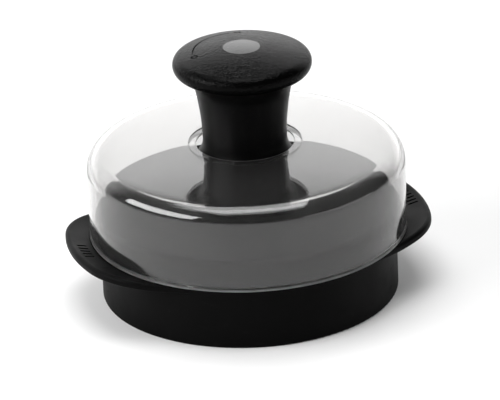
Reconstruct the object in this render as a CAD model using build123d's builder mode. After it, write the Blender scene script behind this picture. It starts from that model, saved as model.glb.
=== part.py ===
"""Patty press: a round mould with two ears, a clear cover, and a plunger worked by a knob.

The mould stands on the table. The clear cover rests on the mould's two ears and guides the
plunger, whose flange stops on the mould's collar. The handle twists off the plunger's hub.
Millimetres, +Z up, origin on the table under the middle of the mould, ears along X.
"""

from build123d import *
from math import asin, atan2, cos, degrees, radians, sin, sqrt, tan
import os

os.makedirs("parts", exist_ok=True)

# ---------------------------------------------------------------- driving sizes
# Mould
patty_radius = 57.0  # bore of the mould, which is the patty's radius
mould_wall = 3.0
mould_height = 32.6  # table to the top of the collar
mould_floor = 3.0
foot_recess = 1.5  # the floor is raised this much inside the foot ring
foot_ring_width = 9.0
mould_corner = 3.0  # round between the floor and the bore
foot_round = 0.8

# Ears
collar_height = 6.4  # from the ledge that carries the cover to the collar's top
ear_thickness = 3.5
ear_reach = 14.2  # out from the mould's wall
ear_rise = 2.3  # the ear's tip stands this much above the ledge
ear_bend = 12.0  # radius of the bend from the ledge to the rising ear
ear_root_angle = 53.0  # from the ear's middle to where its side meets the wall
ear_side_slope = 28.0  # angle of the ear's straight side from the X axis
ear_corner = 28.0
ear_root_round = 18.0
ear_top_round = 1.4
ear_under_round = 0.8
grip_groove_count = 5
grip_groove_width = 1.1
grip_groove_length = 4.2
grip_groove_depth = 0.5
grip_groove_pitch = 2.8
grip_groove_inset = 3.2  # from the ear's tip to the grooves

# Clear cover
cover_gap = 1.9  # between the mould's wall and the cover
cover_wall = 2.4
cover_height = 38.2  # from its rim to the top of the domed crown, were there no hole
cover_crown = 600.0  # radius of the crown's curve
cover_shoulder = 7.5  # outer round between wall and crown
cover_hole_gap = 3.0  # round the handle's foot
cover_lip_round = 0.9

# Plunger
thinnest_patty = 10.5
cup_clearance = 0.4  # between the cup and the mould's bore
cup_wall = 2.5
cup_face = 3.0  # thickness of the pressing face
cup_edge_round = 1.5
face_ring_radii = (18.0, 33.0, 48.0)  # shallow rings that let the patty release
face_ring_width = 1.6
face_ring_depth = 0.6
flange_gap = 0.9  # between the flange and the cover
flange_height = 5.8
flange_web = 2.5
flange_edge_round = 2.0
hub_inset = 3.3  # from the handle's foot to the hub's wall
hub_wall = 2.5
hub_foot_round = 4.0
neck_radius = 10.0  # the part of the hub that enters the handle
neck_bore = 7.0
neck_height = 16.0  # above the hub's shoulder

# Twist lock between the hub's neck and the sleeve in the handle
lug_width = 5.0
lug_height = 3.5
lug_reach = 1.8
lug_rise = 6.5  # from the hub's shoulder to the lug
lock_angle = 75.0
lock_clearance = 0.3
sleeve_wall = 2.1  # behind the lug's track
sleeve_roof = 2.5

# Handle
foot_drop = 5.0  # from the cover's crown down to the handle's foot
foot_flare = 2.3  # the foot is this much wider than the waist
waist_wall = 2.7  # at the waist, round the sleeve
waist_rise = 6.4  # from the foot to the waist
throat_flare = 2.2
throat_rise = 21.0  # from the waist to the throat
handle_web = 2.5
pocket_wall = 1.5  # at the waist, round the pocket above the web
screw_count = 3
screw_circle = 9.5
screw_radius = 1.3
screw_bite = 2.1  # length of the screw in the sleeve
screw_head_radius = 2.6
screw_head_height = 1.8
screw_socket_radius = 1.1
screw_socket_depth = 1.0

# Knob
knob_radius = 28.0
knob_rim_round = 4.0
knob_rim_rise = 11.0  # from the handle's throat to the widest part of the knob
knob_crown_rise = 7.2
knob_wall = 2.6
knob_lip = 2.2
lip_inset = 1.5  # from the rim's round to the lip's edge
snap_height = 2.0
snap_reach = 1.0
inlay_radius = 7.5
inlay_depth = 1.2
mark_radius = 19.5  # of the lock mark's arc on the knob
mark_start = 88.0
mark_sweep = 78.0
mark_width = 0.7
mark_depth = 0.45
mark_spot_radius = 1.5
mark_spot_turn = 11.0  # from the arc's end to the spot

# Small gaps
rest_gap = 0.2  # under a piece that rests on another body
slip_gap = 0.1  # round a piece that is set into another

# ---------------------------------------------------------------- derived sizes
mould_radius = patty_radius + mould_wall
floor_top = foot_recess + mould_floor
ledge_height = mould_height - collar_height
ear_tip = mould_radius + ear_reach

cover_inner = mould_radius + cover_gap
cover_radius = cover_inner + cover_wall
cover_bottom = ledge_height + rest_gap
cover_apex = cover_bottom + cover_height

cup_radius = patty_radius - cup_clearance
cup_bottom = floor_top + thinnest_patty
flange_bottom = mould_height + rest_gap
flange_top = flange_bottom + flange_height
flange_radius = cover_inner - flange_gap
web_bottom = flange_top - flange_web

sleeve_inner = neck_radius + lock_clearance
track_radius = neck_radius + lug_reach + lock_clearance
sleeve_radius = track_radius + sleeve_wall
waist_radius = sleeve_radius + slip_gap + waist_wall
pocket_radius = waist_radius - pocket_wall
foot_radius = waist_radius + foot_flare
throat_radius = waist_radius + throat_flare
cover_hole_radius = foot_radius + cover_hole_gap
hub_radius = foot_radius - hub_inset

foot_height = cover_apex - foot_drop
waist_height = foot_height + waist_rise
throat_height = waist_height + throat_rise
knob_rim_height = throat_height + knob_rim_rise
knob_top = knob_rim_height + knob_crown_rise

shoulder_top = foot_height - lock_clearance
neck_top = shoulder_top + neck_height
lug_bottom = shoulder_top + lug_rise
lug_top = lug_bottom + lug_height

sleeve_bottom = foot_height + lock_clearance
sleeve_ceiling = neck_top + lock_clearance
sleeve_top = sleeve_ceiling + sleeve_roof
handle_web_top = sleeve_top + handle_web
screw_length = handle_web + screw_bite

rim_centre = knob_radius - knob_rim_round
knob_bottom = knob_rim_height - knob_rim_round
lip_top = knob_bottom + knob_lip
lip_radius = rim_centre - lip_inset
seat_radius = lip_radius - slip_gap
handle_top = lip_top + snap_height
knob_crown = rim_centre**2 + knob_crown_rise**2 - knob_rim_round**2
knob_crown /= 2 * (knob_crown_rise - knob_rim_round)


def arc_drop(radius, reach):
    """How far an arc of this radius falls from its crest, at a reach from its axis."""
    return radius - sqrt(radius**2 - reach**2)


def finish(builder, label):
    """Name a finished piece and write it."""
    builder.part.label = label
    export_step(builder.part, f"parts/{label}.step")
    print(f"{label}: {builder.part.volume / 1000:.2f} cm3, {len(builder.part.solids())} solid(s)")


# ---------------------------------------------------------------- mould
def ear_section(drop=0.0):
    """Half section of a ring with the ears' rising top, lowered by drop."""
    inner = patty_radius + mould_wall / 2
    bend = cover_radius + rest_gap
    outer = 2 * ear_tip - bend
    low = ledge_height - drop
    high = low + ear_rise * (outer - bend) / (ear_tip - bend)
    with BuildSketch(Plane.XZ) as section:
        with BuildLine():
            Polyline(
                (inner, low - ear_thickness),
                (inner, low),
                (bend, low),
                (outer, high),
                (outer, high - ear_thickness),
                (bend, low - ear_thickness),
                close=True,
            )
        make_face()
        fillet(section.vertices().sort_by_distance((bend, low))[0], ear_bend)
        fillet(section.vertices().sort_by_distance((bend, low - ear_thickness))[0], ear_bend + ear_thickness)
    return section.sketch


def outline_edges(piece):
    """The edges round the sides of the ears, top and underside, without those that stand upright."""
    sides = piece.faces().filter_by(lambda face: abs(face.normal_at().Z) < 0.01)
    around = sides.edges().filter_by(Axis.Z, reverse=True)
    return around.filter_by(lambda edge: (edge @ 0.5).X ** 2 + (edge @ 0.5).Y ** 2 > inner_reach**2)


inner_reach = mould_radius - slip_gap
outline_middle = ledge_height + (ear_rise - ear_thickness) / 2
side_x = mould_radius * cos(radians(ear_root_angle))
side_y = mould_radius * sin(radians(ear_root_angle))
tip_x = ear_tip + ear_corner
tip_y = side_y - tan(radians(ear_side_slope)) * (tip_x - side_x)

with BuildPart() as ears:
    revolve(ear_section(), axis=Axis.Z)
    with BuildSketch() as plan:
        with BuildLine():
            Polyline(
                (tip_x, tip_y),
                (side_x, side_y),
                (-side_x, side_y),
                (-tip_x, tip_y),
                (-tip_x, -tip_y),
                (-side_x, -side_y),
                (side_x, -side_y),
                (tip_x, -tip_y),
                close=True,
            )
        make_face()
        Circle(ear_tip, mode=Mode.INTERSECT)
        tips = plan.vertices().filter_by(lambda corner: abs(corner.X) > side_x + 1)
        fillet(tips, ear_corner)
        Circle(mould_radius)
        roots = plan.vertices().filter_by(lambda corner: abs(corner.Y) > side_y - ear_corner / 2)
        fillet(roots, ear_root_round)
    extrude(amount=mould_height, mode=Mode.INTERSECT)
    fillet(outline_edges(ears).filter_by(lambda edge: (edge @ 0.5).Z > outline_middle), ear_top_round)
    fillet(outline_edges(ears).filter_by(lambda edge: (edge @ 0.5).Z < outline_middle), ear_under_round)

groove_reach = ear_tip - grip_groove_inset - grip_groove_length / 2

with BuildPart() as grip_grooves:
    with BuildSketch():
        for side in (0, 180):
            for index in range(grip_groove_count):
                across = (index - (grip_groove_count - 1) / 2) * grip_groove_pitch
                turn = side + degrees(across / groove_reach)
                with Locations(Rotation(0, 0, turn) * Pos(groove_reach, 0, 0)):
                    SlotOverall(grip_groove_length, grip_groove_width)
    extrude(amount=mould_height)
    revolve(ear_section(drop=grip_groove_depth), axis=Axis.Z, mode=Mode.SUBTRACT)

with BuildPart() as base_mould:
    with BuildSketch(Plane.XZ) as wall:
        with BuildLine():
            Polyline(
                (0, foot_recess),
                (mould_radius - foot_ring_width, foot_recess),
                (mould_radius - foot_ring_width, 0),
                (mould_radius, 0),
                (mould_radius, mould_height),
                (patty_radius, mould_height),
                (patty_radius, floor_top),
                (0, floor_top),
                close=True,
            )
        make_face()
        inside_corner = wall.vertices().sort_by_distance((patty_radius, floor_top))[0]
        fillet(inside_corner, mould_corner)
        foot_corner = wall.vertices().sort_by_distance((mould_radius, 0))[0]
        fillet(foot_corner, foot_round)
    revolve(axis=Axis.Z)
    add(ears.part)
    add(grip_grooves.part, mode=Mode.SUBTRACT)

finish(base_mould, "base_mould")


# ---------------------------------------------------------------- clear cover
def dome_section(radius, bottom, apex, crown, shoulder):
    """Half section of a solid round cap with a domed crown and a rounded shoulder."""
    edge_height = apex - arc_drop(crown, radius)
    middle_height = apex - arc_drop(crown, radius / 2)
    with BuildSketch(Plane.XZ) as section:
        with BuildLine():
            Polyline((0, apex), (0, bottom), (radius, bottom), (radius, edge_height))
            ThreePointArc((radius, edge_height), (radius / 2, middle_height), (0, apex))
        make_face()
        corner = section.vertices().sort_by_distance((radius, edge_height))[0]
        fillet(corner, shoulder)
    return section.sketch


with BuildPart() as clear_cover:
    outside = dome_section(cover_radius, cover_bottom, cover_apex, cover_crown, cover_shoulder)
    revolve(outside, axis=Axis.Z)
    inside = dome_section(
        cover_inner,
        cover_bottom - cover_wall,
        cover_apex - cover_wall,
        cover_crown - cover_wall,
        cover_shoulder - cover_wall,
    )
    revolve(inside, axis=Axis.Z, mode=Mode.SUBTRACT)
    with BuildSketch():
        Circle(cover_hole_radius)
    extrude(amount=cover_apex, mode=Mode.SUBTRACT)
    rims = clear_cover.edges().filter_by(GeomType.CIRCLE)
    hole_rims = rims.filter_by(lambda edge: abs(edge.radius - cover_hole_radius) < slip_gap)
    fillet(rims.group_by(Axis.Z)[0] + hole_rims, cover_lip_round)

finish(clear_cover, "clear_cover")

# ---------------------------------------------------------------- plunger
with BuildPart() as press_cup:
    with BuildSketch(Plane.XZ) as cup_section:
        with BuildLine():
            Polyline(
                (0, cup_bottom),
                (cup_radius, cup_bottom),
                (cup_radius, web_bottom),
                (cup_radius - cup_wall, web_bottom),
                (cup_radius - cup_wall, cup_bottom + cup_face),
                (0, cup_bottom + cup_face),
                close=True,
            )
        make_face()
        pressing_edge = cup_section.vertices().sort_by_distance((cup_radius, cup_bottom))[0]
        fillet(pressing_edge, cup_edge_round)
        with Locations([(ring_radius, cup_bottom) for ring_radius in face_ring_radii]):
            Rectangle(face_ring_width, 2 * face_ring_depth, mode=Mode.SUBTRACT)
    revolve(axis=Axis.Z)

finish(press_cup, "press_cup")

with BuildPart() as flange_plate:
    with BuildSketch(Plane.XZ) as flange_section:
        with BuildLine():
            Polyline(
                (hub_radius - hub_wall, web_bottom),
                (cup_radius + slip_gap, web_bottom),
                (cup_radius + slip_gap, flange_bottom),
                (flange_radius, flange_bottom),
                (flange_radius, flange_top),
                (hub_radius, flange_top),
                (hub_radius, shoulder_top),
                (neck_radius, shoulder_top),
                (neck_radius, neck_top),
                (neck_bore, neck_top),
                (neck_bore, shoulder_top - hub_wall),
                (hub_radius - hub_wall, shoulder_top - hub_wall),
                close=True,
            )
        make_face()
        flange_edge = flange_section.vertices().sort_by_distance((flange_radius, flange_top))[0]
        fillet(flange_edge, flange_edge_round)
        hub_foot = flange_section.vertices().sort_by_distance((hub_radius, flange_top))[0]
        fillet(hub_foot, hub_foot_round)
    revolve(axis=Axis.Z)
    with BuildSketch(Plane.XY.offset(lug_bottom)):
        Rectangle(2 * (neck_radius + lug_reach), lug_width)
        Circle(neck_radius + lug_reach, mode=Mode.INTERSECT)
        Circle((neck_radius + neck_bore) / 2, mode=Mode.SUBTRACT)
    extrude(amount=lug_height)

finish(flange_plate, "flange_plate")

# ---------------------------------------------------------------- twist lock
track_half_angle = degrees(asin((lug_width / 2 + lock_clearance) / neck_radius))
track_middle = (neck_bore + track_radius) / 2

with BuildPart() as lock_sleeve:
    with BuildSketch(Plane.XY.offset(sleeve_bottom)):
        Circle(sleeve_radius)
    extrude(amount=sleeve_top - sleeve_bottom)
    with BuildSketch(Plane.XY.offset(sleeve_bottom)):
        Circle(sleeve_inner)
    extrude(amount=sleeve_ceiling - sleeve_bottom, mode=Mode.SUBTRACT)
    with BuildSketch(Plane.XY.offset(sleeve_bottom)):
        with Locations(Rotation(0, 0, -lock_angle)):
            Rectangle(3 * track_radius, lug_width + 2 * lock_clearance)
        Circle(track_radius, mode=Mode.INTERSECT)
    extrude(amount=lug_top + lock_clearance - sleeve_bottom, mode=Mode.SUBTRACT)
    with BuildSketch(Plane.XY.offset(lug_bottom - lock_clearance)):
        for side in (0, 180):
            SlotArc(
                CenterArc(
                    (0, 0),
                    track_middle,
                    side - lock_angle - track_half_angle,
                    lock_angle + 2 * track_half_angle,
                ),
                track_radius - neck_bore,
            )
    extrude(amount=lug_height + 2 * lock_clearance, mode=Mode.SUBTRACT)
    with BuildSketch(Plane.XY.offset(sleeve_ceiling)):
        with PolarLocations(screw_circle, screw_count):
            Circle(screw_radius + slip_gap)
    extrude(amount=handle_web, mode=Mode.SUBTRACT)

finish(lock_sleeve, "lock_sleeve")

with BuildPart() as sleeve_screws:
    with PolarLocations(screw_circle, screw_count):
        with Locations((0, 0, handle_web_top)):
            Cylinder(screw_head_radius, screw_head_height, align=(Align.CENTER, Align.CENTER, Align.MIN))
            Cylinder(screw_radius, screw_length, align=(Align.CENTER, Align.CENTER, Align.MAX))
        with Locations((0, 0, handle_web_top + screw_head_height)):
            Cylinder(
                screw_socket_radius,
                screw_socket_depth,
                align=(Align.CENTER, Align.CENTER, Align.MAX),
                mode=Mode.SUBTRACT,
            )

finish(sleeve_screws, "sleeve_screws")

# ---------------------------------------------------------------- handle
with BuildPart() as handle_stem:
    with BuildSketch(Plane.XZ):
        with BuildLine():
            TangentArc((waist_radius, waist_height), (foot_radius, foot_height), tangent=(0, -1))
            throat = TangentArc((waist_radius, waist_height), (throat_radius, throat_height), tangent=(0, 1))
            flare = TangentArc(throat @ 1, (seat_radius, knob_bottom - knob_lip / 4), tangent=throat % 1)
            Polyline(
                flare @ 1,
                (seat_radius, lip_top),
                (seat_radius + snap_reach, lip_top),
                (seat_radius + snap_reach, handle_top),
                (pocket_radius, handle_top),
                (pocket_radius, handle_web_top),
                (0, handle_web_top),
                (0, sleeve_top),
                (sleeve_radius + slip_gap, sleeve_top),
                (sleeve_radius + slip_gap, foot_height),
                (foot_radius, foot_height),
            )
        make_face()
    revolve(axis=Axis.Z)
    with BuildSketch(Plane.XY.offset(sleeve_top)):
        with PolarLocations(screw_circle, screw_count):
            Circle(screw_radius + slip_gap)
    extrude(amount=handle_web, mode=Mode.SUBTRACT)

finish(handle_stem, "handle_stem")

# ---------------------------------------------------------------- knob
crown_centre = knob_top - knob_crown
rim_angle = atan2(knob_rim_height - crown_centre, rim_centre)
crown_edge = (
    rim_centre + knob_rim_round * cos(rim_angle),
    knob_rim_height + knob_rim_round * sin(rim_angle),
)
crown_middle = (crown_edge[0] / 2, knob_top - arc_drop(knob_crown, crown_edge[0] / 2))
cavity_radius = rim_centre + knob_rim_round - knob_wall - slip_gap
cavity_crown = knob_crown - knob_wall


def knob_section(drop=0.0):
    """Half section of the solid knob, lowered by drop."""
    with BuildSketch(Plane.XZ) as section:
        with BuildLine():
            ThreePointArc(
                (0, knob_top - drop),
                (crown_middle[0], crown_middle[1] - drop),
                (crown_edge[0], crown_edge[1] - drop),
            )
            ThreePointArc(
                (crown_edge[0], crown_edge[1] - drop),
                (knob_radius, knob_rim_height - drop),
                (rim_centre, knob_bottom - drop),
            )
            Polyline((rim_centre, knob_bottom - drop), (0, knob_bottom - drop), (0, knob_top - drop))
        make_face()
    return section.sketch


cavity_edge = knob_top - knob_wall - arc_drop(cavity_crown, cavity_radius)
cavity_middle = knob_top - knob_wall - arc_drop(cavity_crown, cavity_radius / 2)
inlay_floor = knob_top - arc_drop(knob_crown, inlay_radius) - inlay_depth

with BuildPart() as lock_mark:
    with BuildSketch():
        SlotArc(CenterArc((0, 0), mark_radius, mark_start, mark_sweep), mark_width)
        for turn in (mark_start - mark_spot_turn, mark_start + mark_sweep + mark_spot_turn):
            with Locations(Rotation(0, 0, turn) * Pos(mark_radius, 0, 0)):
                Circle(mark_spot_radius)
                Circle(mark_spot_radius - mark_width, mode=Mode.SUBTRACT)
    extrude(amount=2 * knob_top)
    revolve(knob_section(drop=mark_depth), axis=Axis.Z, mode=Mode.SUBTRACT)
    with BuildSketch():
        Circle(knob_radius)
    extrude(amount=knob_rim_height, mode=Mode.SUBTRACT)

with BuildPart() as knob_cap:
    revolve(knob_section(), axis=Axis.Z)
    with BuildSketch(Plane.XZ):
        with BuildLine():
            ThreePointArc(
                (0, knob_top - knob_wall),
                (cavity_radius / 2, cavity_middle),
                (cavity_radius, cavity_edge),
            )
            Polyline(
                (cavity_radius, cavity_edge),
                (cavity_radius, lip_top),
                (lip_radius, lip_top),
                (lip_radius, knob_bottom),
                (0, knob_bottom),
                (0, knob_top - knob_wall),
            )
        make_face()
    revolve(axis=Axis.Z, mode=Mode.SUBTRACT)
    with BuildSketch(Plane.XY.offset(inlay_floor)):
        Circle(inlay_radius + slip_gap)
    extrude(amount=knob_top - inlay_floor, mode=Mode.SUBTRACT)
    add(lock_mark.part, mode=Mode.SUBTRACT)

finish(knob_cap, "knob_cap")

with BuildPart() as knob_inlay:
    revolve(knob_section(), axis=Axis.Z)
    with BuildSketch(Plane.XY.offset(inlay_floor)):
        Circle(inlay_radius)
    extrude(amount=knob_top - inlay_floor, mode=Mode.INTERSECT)

finish(knob_inlay, "knob_inlay")
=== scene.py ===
# %% [markdown]
# A patty press: a black mould with two ears, a clear cover, and a plunger on a mushroom knob.
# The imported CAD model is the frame. Its pieces, places and outer sizes hold here too, so this
# script loads it first and keeps its box, to compare with the finished model's box at the end.

# %% Load the frame
from math import cos, radians, sin, sqrt

import bmesh
import bpy
from mathutils import Matrix, Vector


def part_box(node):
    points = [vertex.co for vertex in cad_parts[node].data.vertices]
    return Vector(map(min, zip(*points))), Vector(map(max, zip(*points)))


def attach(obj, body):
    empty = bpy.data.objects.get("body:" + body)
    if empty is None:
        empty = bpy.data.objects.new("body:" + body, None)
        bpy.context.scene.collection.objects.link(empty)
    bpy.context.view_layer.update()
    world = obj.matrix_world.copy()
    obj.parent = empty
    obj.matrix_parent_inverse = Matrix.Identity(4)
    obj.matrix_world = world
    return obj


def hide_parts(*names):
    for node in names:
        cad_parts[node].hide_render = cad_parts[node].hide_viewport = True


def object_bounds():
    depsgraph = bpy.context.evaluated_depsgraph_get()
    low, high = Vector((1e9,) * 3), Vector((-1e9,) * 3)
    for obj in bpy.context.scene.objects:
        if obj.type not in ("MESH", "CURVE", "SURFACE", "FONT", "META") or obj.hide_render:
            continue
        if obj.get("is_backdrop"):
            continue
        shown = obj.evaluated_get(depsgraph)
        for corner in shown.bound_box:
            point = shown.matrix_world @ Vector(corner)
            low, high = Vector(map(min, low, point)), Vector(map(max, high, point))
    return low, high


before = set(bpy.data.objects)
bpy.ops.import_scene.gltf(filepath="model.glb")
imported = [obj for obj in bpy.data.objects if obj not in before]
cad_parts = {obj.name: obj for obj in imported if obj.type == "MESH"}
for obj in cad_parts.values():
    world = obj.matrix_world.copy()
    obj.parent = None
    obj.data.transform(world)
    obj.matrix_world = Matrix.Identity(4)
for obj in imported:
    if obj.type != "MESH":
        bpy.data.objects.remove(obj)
cad_low, cad_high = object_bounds()
scene = bpy.context.scene
print("CAD box in mm:", [round(1000 * size, 1) for size in cad_high - cad_low])

# %% [markdown]
# The press is small and round, and a near camera would make its front rim look too wide. A long
# lens from over two metres away keeps the front and the back almost equally wide. The camera looks
# down at 24 degrees, a little from the left ear's side, and is rolled by two degrees. Its three
# axes are worked out here instead of turned by hand, so that each angle has one plain meaning.

# %% Work out the camera's axes
camera_azimuth = radians(-17.0)
camera_elevation = radians(23.906)
camera_roll = radians(-2.259)

back = Vector(
    (
        sin(camera_azimuth) * cos(camera_elevation),
        -cos(camera_azimuth) * cos(camera_elevation),
        sin(camera_elevation),
    )
)
level_right = Vector((cos(camera_azimuth), sin(camera_azimuth), 0))
level_up = back.cross(level_right)
right = cos(camera_roll) * level_right + sin(camera_roll) * level_up
up = back.cross(right)
print("camera looks along", [round(value, 3) for value in -back])

# %% Place the camera
camera_distance = 2.3265
sensor_width = 36.0
lens = 414.8
view_limit = 50
aim_height = 0.0379
aim_right = 0.00103

camera_data = bpy.data.cameras.new("camera")
camera_data.sensor_width = sensor_width
camera_data.lens = lens
camera_data.clip_end = view_limit
camera = bpy.data.objects.new("camera", camera_data)
scene.collection.objects.link(camera)
aim = Vector((0, 0, aim_height)) + aim_right * right
turn = Matrix((right, up, back)).transposed().to_4x4()
camera.matrix_world = Matrix.Translation(aim + camera_distance * back) @ turn
scene.camera = camera
print("camera at", [round(value, 3) for value in camera.location])

# %% [markdown]
# The stage is a pale light table. A plain white sheet would do, but under a black object it goes
# grey where the shadow falls. A table that glows a little keeps the shadow soft and light.

# %% Build the floor
floor_half = 3.0
floor_white = 0.72
floor_glow = 0.12
floor_roughness = 0.9
floor_gloss = 0.1

floor_mesh = bpy.data.meshes.new("floor")
floor_corners = [(floor_half * x, floor_half * y, 0) for x, y in ((-1, -1), (1, -1), (1, 1), (-1, 1))]
floor_mesh.from_pydata(floor_corners, [], [(0, 1, 2, 3)])
floor = bpy.data.objects.new("floor", floor_mesh)
scene.collection.objects.link(floor)
floor_material = bpy.data.materials.new("floor_white")
floor_material.use_nodes = True
floor_shader = floor_material.node_tree.nodes["Principled BSDF"]
for socket, value in (
    ("Base Color", (floor_white, floor_white, floor_white, 1)),
    ("Roughness", floor_roughness),
    ("Specular IOR Level", floor_gloss),
    ("Emission Color", (1, 1, 1, 1)),
    ("Emission Strength", floor_glow),
):
    floor_shader.inputs[socket].default_value = value
floor.data.materials.append(floor_material)
floor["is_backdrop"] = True
print("floor of", 2 * floor_half, "m")

# %% [markdown]
# Every finish below is made of the same few steps: read a noise, spread a value over a new range,
# put two values together. Small functions for them keep each finish short enough to read.

# %% Functions for node trees
def noise(tree, vector, scale, detail):
    """A cloudy value from 0 to 1 at each point."""
    texture = tree.nodes.new("ShaderNodeTexNoise")
    texture.inputs["Scale"].default_value = scale
    texture.inputs["Detail"].default_value = detail
    tree.links.new(vector, texture.inputs["Vector"])
    return texture.outputs["Fac"]


def spread(tree, value, old_range, new_range, smooth=False):
    """A value taken from one range to another, and kept inside it."""
    step = tree.nodes.new("ShaderNodeMapRange")
    if smooth:
        step.interpolation_type = "SMOOTHSTEP"
    names = ("From Min", "From Max", "To Min", "To Max")
    for name, number in zip(names, (*old_range, *new_range)):
        step.inputs[name].default_value = number
    tree.links.new(value, step.inputs["Value"])
    return step.outputs["Result"]


def combine(tree, operation, first, second):
    """Two values added, multiplied, or the larger of the two."""
    both = tree.nodes.new("ShaderNodeMath")
    both.operation = operation
    tree.links.new(first, both.inputs[0])
    tree.links.new(second, both.inputs[1])
    return both.outputs["Value"]


def along(tree, vector, operation, other, output):
    """A vector multiplied by another, or its dot product with it."""
    product = tree.nodes.new("ShaderNodeVectorMath")
    product.operation = operation
    product.inputs[1].default_value = other
    tree.links.new(vector, product.inputs[0])
    return product.outputs[output]


def bump(tree, height, depth, shader):
    """Bump on a shader: the depth in metres is for a height of 1."""
    relief = tree.nodes.new("ShaderNodeBump")
    relief.inputs["Strength"].default_value = 1
    relief.inputs["Distance"].default_value = depth
    tree.links.new(height, relief.inputs["Height"])
    tree.links.new(relief.outputs["Normal"], shader.inputs["Normal"])


print("functions for noise, ranges, sums, vectors and bump")

# %% [markdown]
# Clear and black plastic show little colour of their own: they are drawn by what they mirror. So
# the surroundings matter more than the lamps. A bright backdrop stands behind the press, and the
# camera's side and the ceiling are dark. It is a fade in the world's light, which needs no walls.

# %% Surround the press with light and dark
backdrop_level = 2.2
dark_level = 0.04
backdrop_turn = camera_azimuth + radians(6)
backdrop_way = (-sin(backdrop_turn), cos(backdrop_turn), 0)
backdrop_edge = (0.35, 0.75)
ceiling_edge = (0.45, 0.76)

world = bpy.data.worlds.new("studio")
world.use_nodes = True
scene.world = world
studio = world.node_tree
background = studio.nodes["Background"]
background.inputs["Color"].default_value = (1, 1, 1, 1)
directions = studio.nodes.new("ShaderNodeTexCoord").outputs["Generated"]
behind = along(studio, directions, "DOT_PRODUCT", backdrop_way, "Value")
above = along(studio, directions, "DOT_PRODUCT", (0, 0, 1), "Value")
backdrop = spread(studio, behind, backdrop_edge, (dark_level, backdrop_level), smooth=True)
ceiling = spread(studio, above, ceiling_edge, (1, dark_level), smooth=True)
studio.links.new(combine(studio, "MULTIPLY", backdrop, ceiling), background.inputs["Strength"])
print("studio light up to", backdrop_level)

# %% [markdown]
# Three softboxes draw the highlights. The one overhead lights the table and makes the thin bright
# line along the cover's shoulder. The one on the left shows in the shoulder as a long pale patch,
# and a low strip on the right puts a faint streak there.

# %% Hang the softboxes
def softbox(name, place, target, size, power):
    """A rectangular lamp that faces a point."""
    data = bpy.data.lights.new(name, "AREA")
    data.shape = "RECTANGLE"
    data.size, data.size_y = size
    data.energy = power
    lamp = bpy.data.objects.new(name, data)
    lamp.location = place
    lamp.rotation_euler = (Vector(place) - Vector(target)).to_track_quat("Z", "Y").to_euler()
    scene.collection.objects.link(lamp)


cover_middle = (0, 0, 0.05)
softbox("overhead_softbox", place=(0, 0, 1.2), target=(0, 0, 0), size=(0.9, 0.9), power=15)
softbox("left_softbox", place=(-1.06, -0.11, 0.545), target=cover_middle, size=(1.2, 0.47), power=16)
softbox("right_strip", place=(0.92, -0.77, 0.1), target=cover_middle, size=(1.3, 0.16), power=1)
scene.view_settings.view_transform = "Standard"
print("studio with", len(bpy.data.lights), "softboxes")

# %% [markdown]
# Moulded black plastic is never one flat colour. Its gloss changes slowly over the surface, a fine
# grain breaks up the highlights, and kitchen use leaves faint pale scuffs. So each finish has a
# mottle in its roughness, a grain as bump, and a few thin scuffs, stretched as wiping leaves them.
# One function makes all five finishes: they differ in a few numbers and in the kind of grain.

# %% A function for black plastics
mottle_scale = 60
mottle_range = (0.35, 0.65)
scuff_stretch = (60, 400, 400)
scuff_range = (0.62, 0.72)
scuff_roughness = 0.12
scuff_tint = 0.02


def plastic(name, colour, roughness, specular, grain_scale, grain_depth, leather=False):
    """A dark moulded plastic: mottled roughness, thin scuffs, and a grain as bump."""
    material = bpy.data.materials.new(name)
    material.use_nodes = True
    tree = material.node_tree
    shader = tree.nodes["Principled BSDF"]
    shader.inputs["Specular IOR Level"].default_value = specular
    place = tree.nodes.new("ShaderNodeTexCoord").outputs["Object"]
    gloss = spread(tree, noise(tree, place, mottle_scale, 4), mottle_range, roughness)
    stretched = tree.nodes.new("ShaderNodeMapping")
    stretched.inputs["Scale"].default_value = scuff_stretch
    tree.links.new(place, stretched.inputs["Vector"])
    streaks = noise(tree, stretched.outputs["Vector"], 1, 6)
    scuffs = spread(tree, streaks, scuff_range, (0, scuff_roughness))
    tree.links.new(combine(tree, "ADD", gloss, scuffs), shader.inputs["Roughness"])
    tint = tree.nodes.new("ShaderNodeMix")
    tint.data_type = "RGBA"
    tint.inputs["A"].default_value = (*colour, 1)
    tint.inputs["B"].default_value = (*[value + scuff_tint for value in colour], 1)
    tree.links.new(scuffs, tint.inputs["Factor"])
    tree.links.new(tint.outputs["Result"], shader.inputs["Base Color"])
    if leather:
        cells = tree.nodes.new("ShaderNodeTexVoronoi")
        cells.feature = "SMOOTH_F1"
        cells.inputs["Scale"].default_value = grain_scale
        tree.links.new(place, cells.inputs["Vector"])
        grain = cells.outputs["Distance"]
    else:
        grain = noise(tree, place, grain_scale, 3)
    bump(tree, grain, grain_depth, shader)
    print(name, "with", len(tree.nodes), "nodes")
    return material


print("a scuff adds up to", scuff_roughness, "to the roughness")

# %% [markdown]
# The mould and the handle come out of tools with a fine satin texture, and the plunger is a
# little lighter. The knob is grained so that it doesn't slip in a wet hand, and its inlay is
# smooth, so it stands out as a bright disc. All are nearly black: their greys are reflections.
# Each finish takes a colour, the two ends of its roughness, how strongly it mirrors, and a grain
# with its depth in metres.

# %% Make the black finishes
mould_black = (0.001, 0.001, 0.001)
handle_black = (0.0008, 0.0008, 0.0008)
plunger_black = (0.005, 0.0048, 0.0047)
inlay_black = (0.004, 0.004, 0.0041)
satin_grain = {"grain_scale": 1500, "grain_depth": 0.00002}
shell_grain = {"grain_scale": 900, "grain_depth": 0.00002}
knob_grain = {"grain_scale": 1550, "grain_depth": 0.0002, "leather": True}
inlay_grain = {"grain_scale": 1500, "grain_depth": 0.00001}

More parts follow.
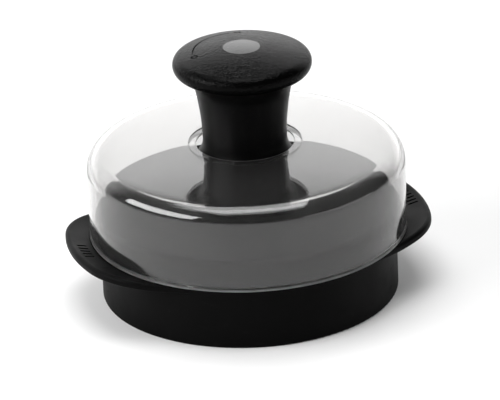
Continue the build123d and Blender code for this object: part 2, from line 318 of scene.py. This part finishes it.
mould_plastic = plastic("mould_plastic", mould_black, (0.42, 0.55), specular=0.05, **satin_grain)
handle_plastic = plastic("handle_plastic", handle_black, (0.3, 0.4), specular=0.09, **satin_grain)
plunger_plastic = plastic("plunger_plastic", plunger_black, (0.34, 0.46), specular=0.02, **shell_grain)
knob_plastic = plastic("knob_plastic", mould_black, (0.2, 0.27), specular=0.045, **knob_grain)
inlay_plastic = plastic("inlay_plastic", inlay_black, (0.22, 0.3), specular=0.55, **inlay_grain)

# %% Give the black pieces their finishes
for node, material in {
    "base_mould": mould_plastic,
    "handle_stem": handle_plastic,
    "lock_sleeve": handle_plastic,
    "flange_plate": plunger_plastic,
    "press_cup": plunger_plastic,
    "knob_cap": knob_plastic,
    "knob_inlay": inlay_plastic,
}.items():
    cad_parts[node].material_slots[0].material = material
    print(node, "gets", material.name)

# %% [markdown]
# The cover is moulded from clear plastic. A real sheet of it takes a little grey from the light,
# and its rim and the lip of its hole come out of the mould slightly matt, so they glow as pale
# lines. The matt places are found from the height and from the distance to the axis, which needs
# no painted map. A trace of haze lets the dark pieces inside look grey, not quite black.

# %% Clear plastic
cover_low, cover_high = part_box("clear_cover")
cover_hole = 19.8
rim_matt_range = (0.0008, 0.0016)
lip_matt_range = (0.00005, 0.00035)
edge_roughness = 0.35
most_haze = 0.03
flow_scale = 25

clear = bpy.data.materials.new("clear_plastic_finish")
clear.use_nodes = True
clear_tree = clear.node_tree
clear_shader = clear_tree.nodes["Principled BSDF"]
clear_shader.inputs["Base Color"].default_value = (0.70, 0.695, 0.69, 1)
clear_shader.inputs["Transmission Weight"].default_value = 0.985
clear_shader.inputs["IOR"].default_value = 1.49
clear_place = clear_tree.nodes.new("ShaderNodeTexCoord").outputs["Object"]
print("clear plastic, refraction", round(clear_shader.inputs["IOR"].default_value, 2))

# %% Matt edges and haze
clear_axes = clear_tree.nodes.new("ShaderNodeSeparateXYZ")
clear_tree.links.new(clear_place, clear_axes.inputs["Vector"])
rim_ends = [cover_low.z + height for height in rim_matt_range]
rim_matt = spread(clear_tree, clear_axes.outputs["Z"], rim_ends, (edge_roughness, 0), smooth=True)
flat_place = along(clear_tree, clear_place, "MULTIPLY", (1, 1, 0), "Vector")
from_axis = clear_tree.nodes.new("ShaderNodeVectorMath")
from_axis.operation = "LENGTH"
clear_tree.links.new(flat_place, from_axis.inputs[0])
lip_ends = [cover_hole / 1000 + distance for distance in lip_matt_range]
lip_matt = spread(clear_tree, from_axis.outputs["Value"], lip_ends, (edge_roughness, 0))
haze = spread(clear_tree, noise(clear_tree, clear_place, flow_scale, 5), (0, 1), (0, most_haze))
matt_edges = combine(clear_tree, "MAXIMUM", rim_matt, lip_matt)
clear_gloss = combine(clear_tree, "MAXIMUM", matt_edges, haze)
clear_tree.links.new(clear_gloss, clear_shader.inputs["Roughness"])
print("clear plastic with", len(clear_tree.nodes), "nodes")

# %% [markdown]
# Two pieces are made in more detail here than in the CAD model: the cover and the screws. Both
# come from Geometry Nodes trees, which can be changed by their named inputs. These functions name
# a tree's inputs, join its nodes, and turn its result into a plain mesh with its faces outward.

# %% Functions for Geometry Nodes
def name_inputs(tree, wanted):
    """The identifier of each named input, which is what a modifier is set by."""
    tree.is_modifier = True
    identifiers = {}
    for name, kind in wanted.items():
        socket = tree.interface.new_socket(name=name, in_out="INPUT", socket_type=kind)
        identifiers[name] = socket.identifier
    tree.interface.new_socket(name="Result", in_out="OUTPUT", socket_type="NodeSocketGeometry")
    return identifiers


def join(tree, pairs):
    """Links from each output to its input."""
    for source, target in pairs:
        tree.links.new(source, target)
    print(tree.name, "with", len(tree.nodes), "nodes and", len(tree.links), "links")


def plain_mesh(blank, tree, identifiers, values):
    """The mesh that a tree makes of an object, which is then removed."""
    scene.collection.objects.link(blank)
    modifier = blank.modifiers.new(tree.name, "NODES")
    modifier.node_group = tree
    for name, value in values.items():
        modifier[identifiers[name]] = value
    depsgraph = bpy.context.evaluated_depsgraph_get()
    mesh = bpy.data.meshes.new_from_object(blank.evaluated_get(depsgraph), depsgraph=depsgraph)
    bpy.data.objects.remove(blank)
    return mesh


def face_outward(mesh, weld_gap=0):
    """Faces that look out, with points nearer than the gap made one."""
    shape = bmesh.new()
    shape.from_mesh(mesh)
    if weld_gap:
        bmesh.ops.remove_doubles(shape, verts=shape.verts, dist=weld_gap)
    bmesh.ops.recalc_face_normals(shape, faces=shape.faces)
    open_edges = sum(edge.is_boundary for edge in shape.edges)
    print(mesh.name, "with", len(shape.faces), "faces and", open_edges, "open edges")
    shape.to_mesh(mesh)
    shape.free()


# %% [markdown]
# The cover follows one rule: a half outline turned about the axis. Geometry Nodes can be the
# lathe. The outline is a closed curve whose points carry the radius of their own corner, Fillet
# Curve rounds them, and Curve to Mesh sweeps the outline round a circle.

# %% Build the lathe
rail_radius = 0.1
lathe = bpy.data.node_groups.new("lathe", "GeometryNodeTree")
lathe_inputs = name_inputs(
    lathe,
    {
        "Outline": "NodeSocketGeometry",
        "Segments": "NodeSocketInt",
        "Corner Steps": "NodeSocketInt",
        "Finish": "NodeSocketMaterial",
    },
)
start = lathe.nodes.new("NodeGroupInput")
corner = lathe.nodes.new("GeometryNodeInputRadius")
rounded = lathe.nodes.new("GeometryNodeFilletCurve")
rounded.mode = "POLY"
rounded.inputs["Limit Radius"].default_value = True
plain = lathe.nodes.new("GeometryNodeSetCurveRadius")
plain.inputs["Radius"].default_value = 1
rail = lathe.nodes.new("GeometryNodeCurvePrimitiveCircle")
rail.inputs["Radius"].default_value = rail_radius
sweep = lathe.nodes.new("GeometryNodeCurveToMesh")
smooth = lathe.nodes.new("GeometryNodeSetShadeSmooth")
real = lathe.nodes.new("GeometryNodeRealizeInstances")
coat = lathe.nodes.new("GeometryNodeSetMaterial")
end = lathe.nodes.new("NodeGroupOutput")
print("lathe with inputs", list(lathe_inputs))

# %% Join the lathe's nodes
lathe_pairs = (
    (start.outputs["Outline"], rounded.inputs["Curve"]),
    (start.outputs["Corner Steps"], rounded.inputs["Count"]),
    (corner.outputs["Radius"], rounded.inputs["Radius"]),
    (rounded.outputs["Curve"], plain.inputs["Curve"]),
    (start.outputs["Segments"], rail.inputs["Resolution"]),
    (rail.outputs["Curve"], sweep.inputs["Curve"]),
    (plain.outputs["Curve"], sweep.inputs["Profile Curve"]),
    (sweep.outputs["Mesh"], smooth.inputs["Geometry"]),
    (smooth.outputs["Geometry"], real.inputs["Geometry"]),
    (real.outputs["Geometry"], coat.inputs["Geometry"]),
    (start.outputs["Finish"], coat.inputs["Material"]),
    (coat.outputs["Geometry"], end.inputs["Result"]),
)
join(lathe, lathe_pairs)

# %% [markdown]
# An outline is written as a list of points, each with a radius, a height and the rounding of its
# corner, all in millimetres. The sweep turns the outline's own upward direction over, so heights
# go in with their sign changed, and points that meet on the axis are welded.

# %% A function that turns an outline
axis_weld = 0.000001


def turned(name, outline, material, segments, corner_steps):
    """A round piece from its half outline: (radius, height, corner) in millimetres."""
    curve = bpy.data.curves.new(name, "CURVE")
    curve.dimensions = "3D"
    spline = curve.splines.new("POLY")
    spline.points.add(len(outline) - 1)
    spline.use_cyclic_u = True
    for point, (radius, height, rounding) in zip(spline.points, outline):
        point.co = (radius / 1000 - rail_radius, -height / 1000, 0, 1)
        point.radius = rounding / 1000
    blank = bpy.data.objects.new(name, curve)
    values = {"Segments": segments, "Corner Steps": corner_steps, "Finish": material}
    mesh = plain_mesh(blank, lathe, lathe_inputs, values)
    face_outward(mesh, axis_weld)
    piece = bpy.data.objects.new(name, mesh)
    scene.collection.objects.link(piece)
    return piece


print("the lathe's circle has a radius of", 1000 * rail_radius, "mm")

# %% [markdown]
# The cover's crown is a shallow dome, so its outline has points on two long arcs. The rim is a
# little wider than the wall just above it. Round the hole the sheet steps down to a thin flat
# seat, close round the handle's foot, and the two edges of that step catch fine lines of light.

# %% Measure the cover's outline
cover_radius = 1000 * cover_high.x
cover_bottom = 1000 * cover_low.z
cover_wall = 2.4
cover_apex = cover_bottom + 38.2
cover_crown = 600.0
cover_shoulder = 7.5
seat_radius = 22.6
seat_slope = 0.3
seat_drop = 0.35
seat_sheet = 0.6


def crown_points(radii, depth):
    """Points on the crown, this much below its outer face."""
    arc = cover_crown - depth
    return [(radius, cover_apex - depth - arc + sqrt(arc**2 - radius**2), 0) for radius in radii]


def crown_height(radius, depth):
    """The crown's height at a radius, this much below its outer face."""
    return crown_points([radius], depth)[0][1]


crown_radii = [26 + 4 * step for step in range(8)]
outside_edge = crown_height(cover_radius, 0)
inside_edge = crown_height(cover_radius - cover_wall, cover_wall)
seat_edge = crown_height(seat_radius + seat_slope, 0)
seat_under = crown_height(seat_radius + seat_slope, cover_wall)
seat_top = seat_edge - seat_drop
seat_bottom = seat_top - seat_sheet
print("cover's shoulder at", round(outside_edge, 2), "mm, its seat at", round(seat_top, 2), "mm")

# %% Turn the clear cover
rim_height = 1.3
rim_step = 0.5
wall_recess = 0.2
cover_outline = [
    (cover_radius - cover_wall, cover_bottom, 0.9),
    (cover_radius, cover_bottom, 0.5),
    (cover_radius, cover_bottom + rim_height, 0.5),
    (cover_radius - wall_recess, cover_bottom + rim_height + rim_step, 0.5),
    (cover_radius, outside_edge, cover_shoulder),
    *reversed(crown_points(crown_radii, 0)),
    (seat_radius + seat_slope, seat_edge, 0.15),
    (seat_radius, seat_top, 0.15),
    (cover_hole, seat_top, 0.2),
    (cover_hole, seat_bottom, 0.2),
    (seat_radius, seat_bottom, 0.15),
    (seat_radius + seat_slope, seat_under, 0.15),
    *crown_points(crown_radii, cover_wall),
    (cover_radius - cover_wall, inside_edge, cover_shoulder - cover_wall),
]
cover_shell = turned("cover_shell", cover_outline, clear, segments=256, corner_steps=8)
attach(cover_shell, "cover")
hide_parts("clear_cover")

# %% [markdown]
# Three self-tapping screws hold the lock's sleeve in the handle. They are made from steel wire,
# and their thread is rolled, not cut. The dies leave fine marks, so the steel's roughness and
# bump both follow one noise, fine enough to look like tool marks and not like dirt.

# %% Screw steel
tool_mark_scale = 2500
tool_mark_depth = 0.00001
steel_roughness = (0.22, 0.5)

steel = bpy.data.materials.new("screw_steel_finish")
steel.use_nodes = True
steel_tree = steel.node_tree
steel_shader = steel_tree.nodes["Principled BSDF"]
steel_shader.inputs["Base Color"].default_value = (0.6, 0.59, 0.57, 1)
steel_shader.inputs["Metallic"].default_value = 1
steel_place = steel_tree.nodes.new("ShaderNodeTexCoord").outputs["Object"]
tool_marks = noise(steel_tree, steel_place, tool_mark_scale, 4)
steel_gloss = spread(steel_tree, tool_marks, (0, 1), steel_roughness)
steel_tree.links.new(steel_gloss, steel_shader.inputs["Roughness"])
bump(steel_tree, tool_marks, tool_mark_depth, steel_shader)
print("screw steel with", len(steel_tree.nodes), "nodes")

# %% [markdown]
# A screw's head and shank are round, so the lathe makes them too. The outline starts at the tip,
# goes up the shank and over the head, and ends at the bottom of the driver's socket.

# %% Turn one screw
screw_low, screw_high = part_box("sleeve_screws")
screw_core = 1.05
screw_head = 2.6
screw_head_height = 1.8
tip_radius = 0.5
tip_height = 0.8
socket_radius = 1.1
socket_depth = 1.0
screw_length = 1000 * (screw_high.z - screw_low.z)
shank_length = screw_length - screw_head_height
screw_outline = [
    (0, 0, 0),
    (tip_radius, 0, 0.1),
    (screw_core, tip_height, 0.1),
    (screw_core, shank_length, 0.1),
    (screw_head, shank_length, 0.15),
    (screw_head, screw_length, 0.4),
    (socket_radius, screw_length, 0.1),
    (socket_radius, screw_length - socket_depth, 0.1),
    (0, screw_length - socket_depth, 0),
]
screw_blank = turned("screw_blank", screw_outline, steel, segments=48, corner_steps=4)

# %% [markdown]
# The three screws are equal and stand in a ring, so a second tree copies one of them onto the
# points of a circle. It also winds the thread: a spiral curve with a small four-sided section.
# The copies become real meshes at the end, because an export would drop copies.

# %% Build the ring of screws
ring = bpy.data.node_groups.new("screw_ring", "GeometryNodeTree")
ring_inputs = name_inputs(
    ring,
    {
        "Screw": "NodeSocketObject",
        "Count": "NodeSocketInt",
        "Circle": "NodeSocketFloat",
        "Tip": "NodeSocketVector",
        "Turns": "NodeSocketFloat",
        "Thread Length": "NodeSocketFloat",
        "Thread Radius": "NodeSocketFloat",
        "Ridge": "NodeSocketFloat",
        "Finish": "NodeSocketMaterial",
    },
)
given = ring.nodes.new("NodeGroupInput")
blank_shape = ring.nodes.new("GeometryNodeObjectInfo")
helix = ring.nodes.new("GeometryNodeCurveSpiral")
helix.inputs["Resolution"].default_value = 24
ridge = ring.nodes.new("GeometryNodeCurvePrimitiveCircle")
ridge.inputs["Resolution"].default_value = 4
thread = ring.nodes.new("GeometryNodeCurveToMesh")
thread.inputs["Fill Caps"].default_value = True
one_screw = ring.nodes.new("GeometryNodeJoinGeometry")
spots = ring.nodes.new("GeometryNodeMeshCircle")
copies = ring.nodes.new("GeometryNodeInstanceOnPoints")
lifted = ring.nodes.new("GeometryNodeTransform")
solid = ring.nodes.new("GeometryNodeRealizeInstances")
plated = ring.nodes.new("GeometryNodeSetMaterial")
result = ring.nodes.new("NodeGroupOutput")
print("screw ring with inputs", list(ring_inputs))

# %% Join the ring's nodes
ring_pairs = (
    (given.outputs["Screw"], blank_shape.inputs["Object"]),
    (given.outputs["Turns"], helix.inputs["Rotations"]),
    (given.outputs["Thread Radius"], helix.inputs["Start Radius"]),
    (given.outputs["Thread Radius"], helix.inputs["End Radius"]),
    (given.outputs["Thread Length"], helix.inputs["Height"]),
    (given.outputs["Ridge"], ridge.inputs["Radius"]),
    (helix.outputs["Curve"], thread.inputs["Curve"]),
    (ridge.outputs["Curve"], thread.inputs["Profile Curve"]),
    (thread.outputs["Mesh"], one_screw.inputs["Geometry"]),
    (blank_shape.outputs["Geometry"], one_screw.inputs["Geometry"]),
    (given.outputs["Count"], spots.inputs["Vertices"]),
    (given.outputs["Circle"], spots.inputs["Radius"]),
    (spots.outputs["Mesh"], copies.inputs["Points"]),
    (one_screw.outputs["Geometry"], copies.inputs["Instance"]),
    (copies.outputs["Instances"], lifted.inputs["Geometry"]),
    (given.outputs["Tip"], lifted.inputs["Translation"]),
    (lifted.outputs["Geometry"], solid.inputs["Geometry"]),
    (solid.outputs["Geometry"], plated.inputs["Geometry"]),
    (given.outputs["Finish"], plated.inputs["Material"]),
    (plated.outputs["Geometry"], result.inputs["Result"]),
)
join(ring, ring_pairs)

# %% Set the screws in the handle
screw_circle = 9.5
screw_crest = 1.3
thread_pitch = 1.1
ring_values = {
    "Screw": screw_blank,
    "Count": 3,
    "Circle": screw_circle / 1000,
    "Tip": (0, 0, screw_low.z),
    "Turns": shank_length / thread_pitch,
    "Thread Length": shank_length / 1000,
    "Thread Radius": screw_core / 1000,
    "Ridge": (screw_crest - screw_core) / 1000,
    "Finish": steel,
}
ring_blank = bpy.data.objects.new("ring_blank", bpy.data.meshes.new("ring_blank"))
ring_mesh = plain_mesh(ring_blank, ring, ring_inputs, ring_values)
bpy.data.objects.remove(screw_blank)
face_outward(ring_mesh)
screw_set = bpy.data.objects.new("screw_set", ring_mesh)
scene.collection.objects.link(screw_set)
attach(screw_set, "handle")
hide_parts("sleeve_screws")

# %% [markdown]
# The ring stands for the CAD's screws, so it has to be in their place. Only the thread's lower
# end leaves their box: it reaches a quarter of a millimetre past the tips.

# %% Compare the screws with the CAD
for axis, low, high in zip("xyz", screw_low, screw_high):
    places = [getattr(vertex.co, axis) for vertex in ring_mesh.vertices]
    gaps = (min(places) - low, max(places) - high)
    print("screws off the CAD box in mm:", axis, [round(1000 * gap, 2) for gap in gaps])

# %% [markdown]
# The finished model must have the CAD model's box, or the part would not fit where the CAD says.

# %% Compare the sizes with the CAD box
final_low, final_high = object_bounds()
changes = (*(final_low - cad_low), *(final_high - cad_high))
print("box changes in mm:", [round(1000 * change, 3) for change in changes])
